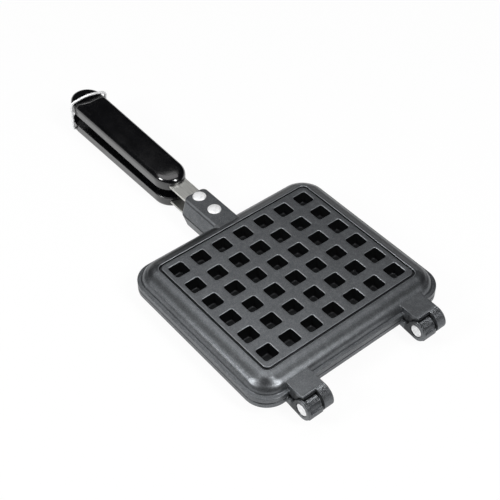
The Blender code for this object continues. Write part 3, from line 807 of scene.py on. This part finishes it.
LUG_TOP_H = FACE_H - 0.00185
LUG_BASE, LUG_CREST, LUG_CORNER, LUG_EDGE = 0.0262, 0.0184, 0.0035, 0.0010
FLANGE_Y = 0.0725  # half the plate's length
ROOT_INSIDE = 0.0013  # how far a lug starts inside the wall
ARM_TOP = SEAM_H + GAP


def wall_y(h):
    """Where a lug's root lies inside the plate's sloping wall, at a height."""
    share = (h - SEAM_H) / (LAND_DROP - PANEL_THICK)
    return FLANGE_Y - LAND + ROOT_INSIDE - WALL_LEAN * share


def lug_ring(h, inset):
    share = (h - SEAM_H) / (LUG_TOP_H - SEAM_H)
    half = (LUG_BASE + (LUG_CREST - LUG_BASE) * share) / 2 - inset
    end, radius = LUG_END_Y - inset, LUG_CORNER
    right = arc(radius, 0, QUARTER, 8, (half - radius, end - radius))
    left = arc(radius, QUARTER, HALF_TURN, 8, (radius - half, end - radius))
    return [(half, wall_y(h)), *right, *left, (-half, wall_y(h))]


def handle_lug():
    foot = SEAM_H + 0.0003
    rings = [(lug_ring(SEAM_H, 0.0002), SEAM_H), (lug_ring(foot, 0), foot)]
    for rise, reach in quarter(6):
        h = LUG_TOP_H - LUG_EDGE * (1 - rise)
        rings.append((lug_ring(h, LUG_EDGE * (1 - reach)), h))
    past = 0.002
    lug = cut(loft(rings), box(
        (-TANG_SLOT, TANG[0].y - GAP, -past), (TANG_SLOT, LUG_END_Y + past, TANG_OUT + GAP),
    ))
    for y in RIVET_YS:
        lug = cut(lug, upright(RIVET_BORE, y, FACE_H + past, 32))
    return lug


HINGE_WIDTH, EAR_THICK, KNUCKLE_WIDTH, BARREL_RADIUS = 0.0203, 0.0018, 0.0122, 0.0058
UPPER_EAR_LEFT = KNUCKLE_WIDTH + 0.0008
HINGE_LEFT_X = [pin[0].x - PIN_SUNK for pin in PINS]


def bored(mesh, left):
    """Cuts the pin's bore and the seat of its head."""
    past = 0.002
    start, seat = left - past, left + PIN_SUNK + PIN_HEAD_THICK + GAP
    bore = axle(PIN_BORE, start, left + HINGE_WIDTH + past)
    return cut(mesh, bore, axle(PIN_SEAT, start, seat))


def lower_hinge(left):
    """The barrel with its stop ledge, and the ear that holds the pin's head."""
    ledge_y, ledge_h = AXIS_Y - 0.0072, 0.0006
    heel_radius, heel_h, strap = 0.0024, -0.0055, 0.0030
    crown = arc(
        BARREL_RADIUS, -math.asin(ARM_TOP / BARREL_RADIUS),
        HALF_TURN - math.asin(ledge_h / BARREL_RADIUS), 32, (AXIS_Y, 0),
    )
    heel = (ledge_y + heel_radius, heel_radius + heel_h)
    corner = arc(heel_radius, HALF_TURN, 3 * QUARTER, 8, heel)
    root = -wall_y(strap)
    barrel = along_x([
        *crown, (ledge_y, ledge_h), *corner[:-1], (heel[0], heel_h), (root, heel_h),
        (root - strap, -ARM_TOP),
    ], left + EAR_THICK / 2, left + KNUCKLE_WIDTH)
    radius, depth, back = 0.0074, 0.0059, -FLANGE_Y - AXIS_Y
    slope = math.asin(radius / math.hypot(back, depth)) - math.atan2(depth, back)
    disc = arc(radius, -math.asin(ARM_TOP / radius), 3 * QUARTER + slope, 64, (AXIS_Y, 0))
    inside = strap - FLANGE_Y
    ear = along_x([
        *disc, (-FLANGE_Y, -depth), (inside, -depth), (inside, -ARM_TOP),
    ], left, left + EAR_THICK)
    return [bored(softened(barrel, CAST_SOFT), left), bored(softened(ear, EAR_SOFT), left)]


def upper_hinge(left):
    """The lug over the lower barrel, and the round ear beside it."""
    top, edge, radius, overlap = FACE_H - 0.0055, AXIS_Y + 0.0015, 0.0075, 0.0008
    root = [(-wall_y(ARM_TOP) - 0.0002, ARM_TOP), (-wall_y(top), top)]
    ear_start = left + UPPER_EAR_LEFT
    lug = along_x(
        [*root, (edge, top), (edge, ARM_TOP)], left + EAR_THICK + GAP, ear_start + overlap,
    )
    lug = cut(lug, axle(BARREL_RADIUS + GAP, left, ear_start, 96))
    over = arc(top, QUARTER, HALF_TURN, 32, (top + AXIS_Y - radius, 0))
    under = arc(radius, HALF_TURN, TURN + math.asin(ARM_TOP / radius), 48, (AXIS_Y, 0))
    ear = along_x([*root, *over, *under[1:]], ear_start, left + HINGE_WIDTH)
    return [bored(softened(cut(lug, ear, operation="UNION"), CAST_SOFT), left)]


class IRON_OT_castings(bpy.types.Operator):
    """Makes the two cast plates with their pockets, studs, lugs and hinges"""

    bl_idname = "iron.castings"
    bl_label = "Cast plates"

    def execute(self, context):
        s = context.scene.iron_casting
        look = coating_finish(context.scene.iron_finish, s)
        recipe = grid_recipe()
        for half, side in SIDES.items():
            parts = [placed(plate_shell(s, recipe, look), side), placed(handle_lug(), side)]
            for left in HINGE_LEFT_X:
                hinge = upper_hinge(left) if side > 0 else lower_hinge(left)
                parts += [shifted(part) for part in hinge]
            piece(
                half + "_casting", gathered(parts), look, half, "coated_casting", half + "_plate",
            )
        return {"FINISHED"}


# ---- handles


def handle_outline(s, inset):
    """The grip seen from above, drawn in where its outer edge rounds over."""
    share, past = min(1.0, inset / s.edge), max(0.0, inset - s.edge)
    half = GRIP[1].x - inset
    rear = (half, GRIP[1].y - s.end, s.end - s.end_slope * share - past)
    nose = (half - s.taper / 2, GRIP[0].y + s.nose, s.nose - s.nose_slope * share - past)
    outline = []
    for start, (across, centre, size) in ((0, rear), (HALF_TURN, nose)):
        bow = arc(1, start, start + HALF_TURN, 24)
        outline += [(across * x, centre + size * y) for x, y in bow]
    return outline


def handle_mesh(s, side):
    """One moulded grip, drawn for the upper side, with the seats of its tang and screw."""
    low, high = GRIP[0].z - PARTING, GRIP[1].z - PARTING
    inner, flat, past = 0.0008, 0.0015, 0.002
    levels = [(low + inner * (1 - out), inner * (1 - rise)) for rise, out in quarter(3)]
    top = high - s.crown - s.edge
    levels += [(top + s.edge * rise, s.edge * (1 - out)) for rise, out in quarter(s.steps)]
    reach, screw_head = GRIP[1].x - s.edge - flat, 0.0035
    for t in (i / 6 for i in range(1, 7)):
        levels.append((high - s.crown * (1 - t) ** 2, s.edge + reach * t))
    grip = cut(
        loft([(handle_outline(s, inset), h) for h, inset in levels]),
        box(
            (-TANG_SLOT, GRIP[0].y - past, TANG_IN - GAP),
            (TANG_SLOT, TANG[1].y + GAP, TANG_OUT + GAP),
        ),
        upright(screw_head, SCREW_Y, TANG_IN + 0.001),
        upright(SCREW_BORE, SCREW_Y, SCREW[1].z - PARTING + GAP),
    )
    if side < 0:
        foot, start, stop, h = 0.0013, 0.0080, 0.0160, PARTING - PIVOT.z
        for way in (-1, 1):
            ends = ((way * x, PIVOT.y, h) for x in (start, stop))
            grip = cut(grip, rod(foot, *ends, 24))
    return grip


class IRON_OT_handles(bpy.types.Operator):
    """Makes the two moulded handles"""

    bl_idname = "iron.handles"
    bl_label = "Handles"

    def execute(self, context):
        look = handle_finish(context.scene.iron_finish)
        for half, side in SIDES.items():
            grip = bent_up(placed(handle_mesh(context.scene.iron_handle, side), side), side)
            piece(half + "_grip", grip, look, half, "moulded_black", half + "_handle", sharp=35)
        return {"FINISHED"}


def tang_mesh():
    """One steel strip with rounded ends and its bores."""
    low, high = TANG
    middle, half = (low.y + high.y) / 2, (high.y - low.y) / 2
    edge, slight, corner = 0.00025, 0.000075, 0.0020
    rings = []
    for h, inset in (
        (low.z, edge), (low.z + slight, slight), (low.z + edge, 0),
        (high.z - edge, 0), (high.z - slight, slight), (high.z, edge),
    ):
        outline = rounded_rectangle(high.x - inset, half - inset, corner - inset, 6)
        rings.append(([(x, middle + y) for x, y in outline], h - PARTING))
    tang = loft(rings)
    bores = [(y, RIVET_BORE, 32) for y in RIVET_YS] + [(SCREW_Y, SCREW_BORE, 24)]
    return cut(tang, *(upright(radius, y, FACE_H, steps) for y, radius, steps in bores))


class IRON_OT_tangs(bpy.types.Operator):
    """Makes the steel strips that join the plates to the handles"""

    bl_idname = "iron.tangs"
    bl_label = "Tangs"

    def execute(self, context):
        look = tang_finish(context.scene.iron_finish)
        for half, side in SIDES.items():
            strip = bent_up(placed(tang_mesh(), side), side)
            piece(half + "_strip", strip, look, half, "tang_steel", half + "_tang")
        return {"FINISHED"}


# ---- fixings


def fixing_recipe():
    """Sets one fixing on each point of a mesh, turned as asked."""
    recipe = Recipe("fixings", Shape="Object", Turn="Rotation")
    return recipe.copies(recipe.given["Geometry"], Rotation=recipe.given["Turn"])


def points(*places):
    mesh = bpy.data.meshes.new("places")
    mesh.from_pydata(places, [], [])
    return mesh


def rivet_mesh(s):
    """Domed head with a fine flat and brim; height 0 is the lug's outer face."""
    high = RIVETS[0][1].z - PARTING - LUG_TOP_H
    head, shank, foot = s.rivet_head / 2, s.rivet_shank / 2, 0.0040
    brim, flat, fullness, foot_thick = GAP + 0.0005, 0.12, 0.9, 0.0015
    crown = [(0, high), (head * flat, high)]
    crown += [
        (head * out ** fullness, brim + (high - brim) * rise) for out, rise in quarter(8, 1)
    ]
    tail = TANG_IN - LUG_TOP_H - GAP
    end = tail - foot_thick
    return turned([
        *crown, (head, GAP + 0.0001), (head - 0.0001, GAP), (shank, GAP), (shank, tail),
        (foot - 0.0001, tail), (foot, tail - 0.0002), (foot, end + 0.0005),
        (foot - 0.0004, end), (0, end),
    ], 48)


def screw_mesh(s):
    """Slotted head down; height 0 is the tang's inner face."""
    base = TANG[0].z
    foot, tip = SCREW[0].z - base, SCREW[1].z - base
    head, shank = (SCREW[1].x - SCREW[0].x) / 2, 0.0015
    screw = turned([
        (0, tip), (shank * 0.6, tip), (shank, tip - 0.0006), (shank, -GAP), (head, -GAP),
        (head, foot + 0.0006), (head - 0.0002, foot + 0.0002), (head - 0.0006, foot), (0, foot),
    ], 40)
    reach, half, slot_depth, past = head * 1.2, s.screw_slot / 2, 0.0006, 0.001
    return cut(screw, box((-reach, -half, foot - past), (reach, half, foot + slot_depth)))


def pin_mesh(s, pin):
    """Head first; height 0 is the pin's left end."""
    long = pin[1].x - pin[0].x
    head, shaft, under = s.pin_head / 2, s.pin_shaft / 2, PIN_HEAD_THICK
    return turned([
        (0, 0.00012), (head * 0.30, 0.00010), (head - 0.0009, 0.00002), (head - 0.0004, 0.00010),
        (head - 0.0001, 0.0003), (head, 0.0005), (head, under), (shaft, under),
        (shaft, long - 0.0005), (shaft - 0.0002, long - 0.0001), (shaft - 0.0006, long), (0, long),
    ], 56)


class IRON_OT_fixings(bpy.types.Operator):
    """Makes the rivets, hinge pins and handle screws"""

    bl_idname = "iron.fixings"
    bl_label = "Rivets, pins and screws"

    def execute(self, context):
        s = context.scene.iron_fixing
        bright = rivet_finish(context.scene.iron_finish)
        steel = tang_finish(context.scene.iron_finish)
        recipe = fixing_recipe()
        rivet, screw = new_object(rivet_mesh(s), "rivet"), new_object(screw_mesh(s), "screw")
        for half, side in SIDES.items():
            over = (0, 0, 0) if side > 0 else (0, HALF_TURN, 0)
            seats = [(0, y, PARTING + side * LUG_TOP_H) for y in RIVET_YS]
            rivets = recipe.run("rivets", points(*seats), shape=rivet, turn=over, finish=bright)
            piece(
                half + "_rivets", rivets, bright, half, "bright_steel",
                half + "_rivet_front", half + "_rivet_rear",
            )
            seat = (0, SCREW_Y, PARTING + side * TANG_IN)
            screws = recipe.run("screws", points(seat), shape=screw, turn=over, finish=steel)
            piece(
                half + "_screw", bent_up(screws, side), steel, half, "tang_steel",
                half + "_handle_screw",
            )
        pin = new_object(pin_mesh(s, PINS[0]), "pin")
        ends = [(low.x, AXIS_Y, PARTING) for low, high in PINS]
        pins = recipe.run("pins", points(*ends), shape=pin, turn=(0, QUARTER, 0), finish=bright)
        piece(
            "hinge_pins", pins, bright, "lower", "bright_steel",
            "hinge_pin_left", "hinge_pin_right",
        )
        for used in (rivet, screw, pin):
            bpy.data.objects.remove(used)
        return {"FINISHED"}


# ---- bail


def wire_recipe():
    """Sweeps a round wire along a line."""
    recipe = Recipe("bent_wire", Radius="Float")
    circle = recipe.node("GeometryNodeCurvePrimitiveCircle", {
        "Resolution": 20, "Radius": recipe.given["Radius"],
    }, mode="RADIUS")
    return recipe.finish(recipe.node("GeometryNodeCurveToMesh", {
        "Curve": recipe.given["Geometry"], "Profile Curve": circle, "Fill Caps": True,
    }))


def bail_line(s):
    """The wire's centre line, from one end inside the handle to the other."""
    half = s.width / 2
    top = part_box("handle_bail")[1].z - s.wire / 2 - s.arch - PIVOT.z
    foot_end, span = 0.0086, half - s.bend
    line = [(foot_end, 0.0)]
    line += arc(s.foot_bend, -QUARTER, 0, 10, (half - s.foot_bend, s.foot_bend))
    line += arc(s.bend, 0, QUARTER, 12, (span, top - s.bend))
    rises = [rise for rise, _ in quarter(10)]
    line += [(span * (1 - i / 10), top + s.arch * rises[i]) for i in range(1, 11)]
    line += [(-x, z) for x, z in reversed(line[:-1])]
    return [
        Vector((x, -(s.lean + s.skew * x / half) * z / top, z)) + PIVOT for x, z in line
    ]


class IRON_OT_bail(bpy.types.Operator):
    """Makes the wire bail that holds the handles together"""

    bl_idname = "iron.bail"
    bl_label = "Wire bail"

    def execute(self, context):
        s = context.scene.iron_bail
        look = wire_finish(context.scene.iron_finish)
        line = bail_line(s)
        path = bpy.data.curves.new("bail_line", "CURVE")
        path.dimensions = "3D"
        spline = path.splines.new("POLY")
        spline.points.add(len(line) - 1)
        for point, place in zip(spline.points, line):
            point.co = (*place, 1.0)
        wire = wire_recipe().run("bail", path, radius=s.wire / 2, finish=look)
        piece("bail_wire", wire, look, "bail", "bright_steel", "handle_bail", sharp=60)
        return {"FINISHED"}


# ---- finishes


def coating_finish(f, s):
    """Grey non-stick coating: fine grain, faint mottling, edges lighter (partly wear, partly
    painted highlight), painted highlights on lips and crests, painted shade in hollows, seams and
    under the lugs.
    """
    m = Finish("grey_coating")
    rounded, edge = m.edges(s.rounding)
    recess = m.node("ShaderNodeAttribute", output="Fac", attribute_name="recess")
    cloud, mottle = m.noise(38, 4, 0.6), m.noise(310, 3, 0.65)
    grain, fine = m.noise(900, 2, 0.6), m.noise(2400, 1)
    across, along, up = (
        m.node("ShaderNodeSeparateXYZ", {0: m.place}, output=axis) for axis in "XYZ"
    )
    h, top = up.maths("ABSOLUTE", up - PARTING), LUG_TOP_H
    on_lug = m.span(along, FLANGE_Y - 0.0060, FLANGE_Y - 0.0054)
    # Masks of painted light on the lugs: a highlight along the top edge, a shadow just under it,
    # shade along the seam between the lugs and under the hinge arms.
    lug_edge_highlight = m.band(h, top - 0.0010, top - 0.00004, 0.0004, 0.00006) * on_lug
    under = m.band(h, top - 0.0028, top - 0.0010, 0.0009, 0.0004) * on_lug
    seam_shade = m.span(h, 0.0012, 0.0005) * m.span(along, FLANGE_Y + 0.0003, FLANGE_Y + 0.0009)
    hinge_arm_shade = m.band(along, -0.0854, -0.0752, 0.0010, 0.0010) * m.span(h, 0.0066, 0.0058)
    tone = m.layered(
        f.coating, 0.90,
        (m.span(cloud, 0.35, 0.65), 1.10),
        (m.span(mottle, 0.40, 0.70) * 0.5, 1.5),
        (m.span(grain, 0.42, 0.60, 0.5, 0.0), 0.70),
        (m.span(fine, 0.55, 0.70) * 0.6, 2.0),
        # Edges lighter: partly wear, partly a painted highlight.
        (edge * 0.40, 1.9),
        # Painted highlight where the painted shading is below 0 (lips, crest, panel's edge),
        # painted shade where it is above 0 (groove, pockets, crease, ledge, seam).
        (m.span(recess, 0.0, -1.0), 2.6),
        (m.span(recess, 0.0, 1.0) * 0.95, 0.11),
        # Painted highlight along the lug's top edge, then painted shadow under it, at the seam and
        # under the hinge arms.
        (lug_edge_highlight * 0.55, 2.4),
        (seam_shade * 0.75 + under * 0.7 + hinge_arm_shade * 0.75, 0.15),
    )
    rough = 0.29 + 0.10 * mottle + 0.05 * grain - 0.04 * edge
    turns = across * 6600
    ridges = turns.maths("SINE", turns) * m.span(along, -0.0815, -0.0835)
    normal = m.bump(ridges, 0.0002, 0.8, rounded)
    normal = m.bump(mottle * 0.3 + grain * 0.5 + fine * 0.3, 0.00012, 0.5, normal)
    return m.surface(tone, rough, normal, 0.86)


def tang_finish(f):
    """Cold-rolled strip: fine lines along its length and a few darker scuffs."""
    m = Finish("strip_steel")
    rounded, edge = m.edges(0.00025)
    lines, cloud = m.noise((2600, 60, 2600), 3, 0.6), m.noise(90, 3, 0.6)
    tone = m.layered(
        f.steel, 0.82,
        (m.span(lines, 0.35, 0.65), 1.08),
        (m.span(cloud, 0.50, 0.72) * 0.5, 0.72),
        # Lighter along its rounded edges: a painted highlight.
        (edge * 0.5, 1.35),
    )
    rough = 0.28 + 0.14 * lines + 0.08 * cloud
    return m.surface(tone, rough, m.bump(lines, 0.00002, 0.5, rounded), 1.0)


def rivet_finish(f):
    """Soft bright aluminium, dressed by a rivet set: dull patches and fine pits."""
    m = Finish("rivet_aluminium")
    rounded, _ = m.edges(0.0003)
    marks, pits = m.noise(420, 3, 0.65), m.noise(1500, 2, 0.6)
    tone = m.layered(
        f.bright, 1.05,
        (m.span(marks, 0.45, 0.75), 0.84),
        (m.span(pits, 0.62, 0.75) * 0.6, 0.62),
    )
    normal = m.bump(marks * 0.6 + pits * 0.4, 0.00010, 0.4, rounded)
    return m.surface(tone, 0.46 + 0.16 * marks, normal, 0.45)


def wire_finish(f):
    """Plated wire: bright, with drawing lines and slight dulling."""
    m = Finish("plated_wire")
    dull, fine = m.noise(300, 3, 0.6), m.noise((1500, 1500, 500), 2)
    tone = m.layered(f.bright, 1.0, (m.span(dull, 0.45, 0.75), 0.82))
    normal = m.bump(dull * 0.7 + fine * 0.3, 0.00005, 0.3)
    return m.surface(tone, 0.30 + 0.12 * dull + 0.05 * fine, normal, 0.35)


def handle_finish(f):
    """Moulded black with a soft gloss, faint flow marks and a few rubbed places."""
    m = Finish("moulded_black")
    flow, peel, rub = m.noise((160, 26, 160), 3, 0.55), m.noise(520, 2), m.noise(60, 4, 0.7)
    tone = m.layered(f.black, 0.85, (m.span(flow, 0.3, 0.7), 1.25))
    rough = 0.13 + 0.07 * m.span(rub, 0.40, 0.70) + 0.03 * peel
    normal = m.bump(peel * 0.5 + flow * 0.5, 0.00004, 0.18)
    return m.surface(
        tone, rough, normal, 0.0, Specular_IOR_Level=0.75, Coat_Weight=0.6, Coat_Roughness=0.09,
    )


# ---- stage


CAMERA_RIGHT = Vector((0.77461, -0.63243, -0.00424))
CAMERA_UP = Vector((0.45092, 0.54757, 0.70486))
CAMERA_BACK = Vector((-0.44345, -0.54790, 0.70933))
CAMERA_PLACE = Vector((-0.32582, -0.36363, 0.50982 + PLATE[1].z))
LENS_MM, SENSOR_MM = 75.46, 36
AIM = Vector((0.0, 0.06, 0.02))
# Each light as (name, shape, direction, distance, width, height, level, its setting).
LIGHTS = (
    ("left_key", "ELLIPSE", (-0.80, 0.17, 0.58), 1.3, 0.36, 0.46, 1.6, "key"),
    ("front_key", "ELLIPSE", (0.11, -0.67, 0.73), 1.3, 0.32, 0.62, 1.9, "key"),
    ("overhead", "RECTANGLE", (-0.02, 0.21, 0.98), 1.5, 1.8, 1.34, 1.65, "top"),
)
WHITE = (1, 1, 1, 1)
FLOOR_RADIUS = 6.0
FLOOR_SEEN, FLOOR_MIRRORED, BACKDROP_SEEN = 0.94, 0.42, 0.95  # shares of plain white
HORIZON, OVERHEAD = (0.05, 0.031), (0.42, 0.002)  # a direction's height, the strength there


def add_light(name, shape, direction, distance, width, height, level):
    """A soft light aimed at the iron; level is what it gives there, facing it."""
    lamp = bpy.data.lights.new(name, "AREA")
    lamp.shape = shape
    lamp.size, lamp.size_y = width, height
    lamp.energy = level * math.pi * distance ** 2
    made = new_object(lamp, name)
    away = Vector(direction).normalized()
    made.location = AIM + away * distance
    made.rotation_euler = away.to_track_quat("Z", "Y").to_euler()


def floor_finish(tint):
    """Nearly white to the camera but for the iron's shadow, grey in reflections."""
    m = Finish("studio_floor")
    pale = m.layered(tint, 1.0, (m.noise(3, 2), 0.985))
    m.set(Base_Color=pale, Roughness=0.9, Specular_IOR_Level=0.0)
    seen = m.seen(FLOOR_SEEN)
    mixed = m.node("ShaderNodeMixShader", {
        0: seen.maths("MAXIMUM", seen, m.ray("Glossy") * FLOOR_MIRRORED),
        1: Term(m.tree, m.shader.outputs[0]),
        2: m.node("ShaderNodeEmission", {"Color": WHITE, "Strength": 1.0}),
    })
    m.tree.links.new(mixed.socket, m.tree.nodes["Material Output"].inputs["Surface"])
    return m.material


def surroundings(fill):
    """A faint glow low down all round, and a white backdrop to the camera."""
    world = bpy.data.worlds.new("studio")
    world.use_nodes = True
    w = Nodes(world.node_tree)
    direction = w.node("ShaderNodeTexCoord", output="Generated")
    height = w.node("ShaderNodeSeparateXYZ", {0: direction}, output="Z")
    (low, low_glow), (high, high_glow) = HORIZON, OVERHEAD
    glow = w.span(height, low, high, low_glow, high_glow, ease="LINEAR")
    seen = w.seen(BACKDROP_SEEN)
    background = world.node_tree.nodes["Background"]
    background.inputs["Color"].default_value = WHITE
    feed(w.tree, background.inputs["Strength"], seen.maths("MAXIMUM", seen, glow * fill))
    return world


class IRON_OT_stage(bpy.types.Operator):
    """Sets the camera, the floor, the lights and the surroundings"""

    bl_idname = "iron.stage"
    bl_label = "Stage"

    def execute(self, context):
        s = context.scene.iron_stage
        scene = context.scene
        lens = bpy.data.cameras.new("photo_camera")
        lens.sensor_width, lens.lens = SENSOR_MM, LENS_MM
        lens.clip_start, lens.clip_end = 0.01, 20
        camera = new_object(lens, "photo_camera")
        turn = Matrix((CAMERA_RIGHT, CAMERA_UP, CAMERA_BACK)).transposed()
        camera.matrix_world = Matrix.Translation(CAMERA_PLACE) @ turn.to_4x4()
        scene.camera = camera
        scene.view_settings.view_transform = "Standard"
        bm = bmesh.new()
        bmesh.ops.create_circle(bm, cap_ends=True, segments=96, radius=FLOOR_RADIUS)
        floor = new_object(new_mesh(bm), "studio_floor")
        floor.data.materials.append(floor_finish(s.floor))
        for *light, level, setting in LIGHTS:
            add_light(*light, level * getattr(s, setting))
        scene.world = surroundings(s.fill)
        return {"FINISHED"}


# ---- interface


class IRON_PT_panel(bpy.types.Panel):
    """Lists the pieces of the iron and their sizes"""

    bl_idname = "IRON_PT_panel"
    bl_label = "Waffle Iron"
    bl_space_type = "VIEW_3D"
    bl_region_type = "UI"
    bl_category = "Waffle Iron"

    def draw(self, context):
        for operator in OPERATORS:
            self.layout.operator(operator.bl_idname)
        for name, group in GROUPS.items():
            part = self.layout.box()
            part.label(text=name.replace("iron_", "").capitalize())
            for key in group.__annotations__:
                part.prop(getattr(context.scene, name), key)


OPERATORS = (
    IRON_OT_castings, IRON_OT_handles, IRON_OT_tangs, IRON_OT_fixings, IRON_OT_bail,
    IRON_OT_stage,
)


CLASSES = (*GROUPS.values(), *OPERATORS, IRON_PT_panel)


def register():
    for part in CLASSES:
        bpy.utils.register_class(part)
    for name, group in GROUPS.items():
        setattr(bpy.types.Scene, name, bpy.props.PointerProperty(type=group))


def unregister():
    for name in GROUPS:
        delattr(bpy.types.Scene, name)
    for part in reversed(CLASSES):
        bpy.utils.unregister_class(part)


def main():
    register()
    bpy.ops.iron.stage()
    bpy.ops.iron.castings()
    bpy.ops.iron.handles()
    bpy.ops.iron.tangs()
    bpy.ops.iron.fixings()
    bpy.ops.iron.bail()


if __name__ == "__main__":
    main()
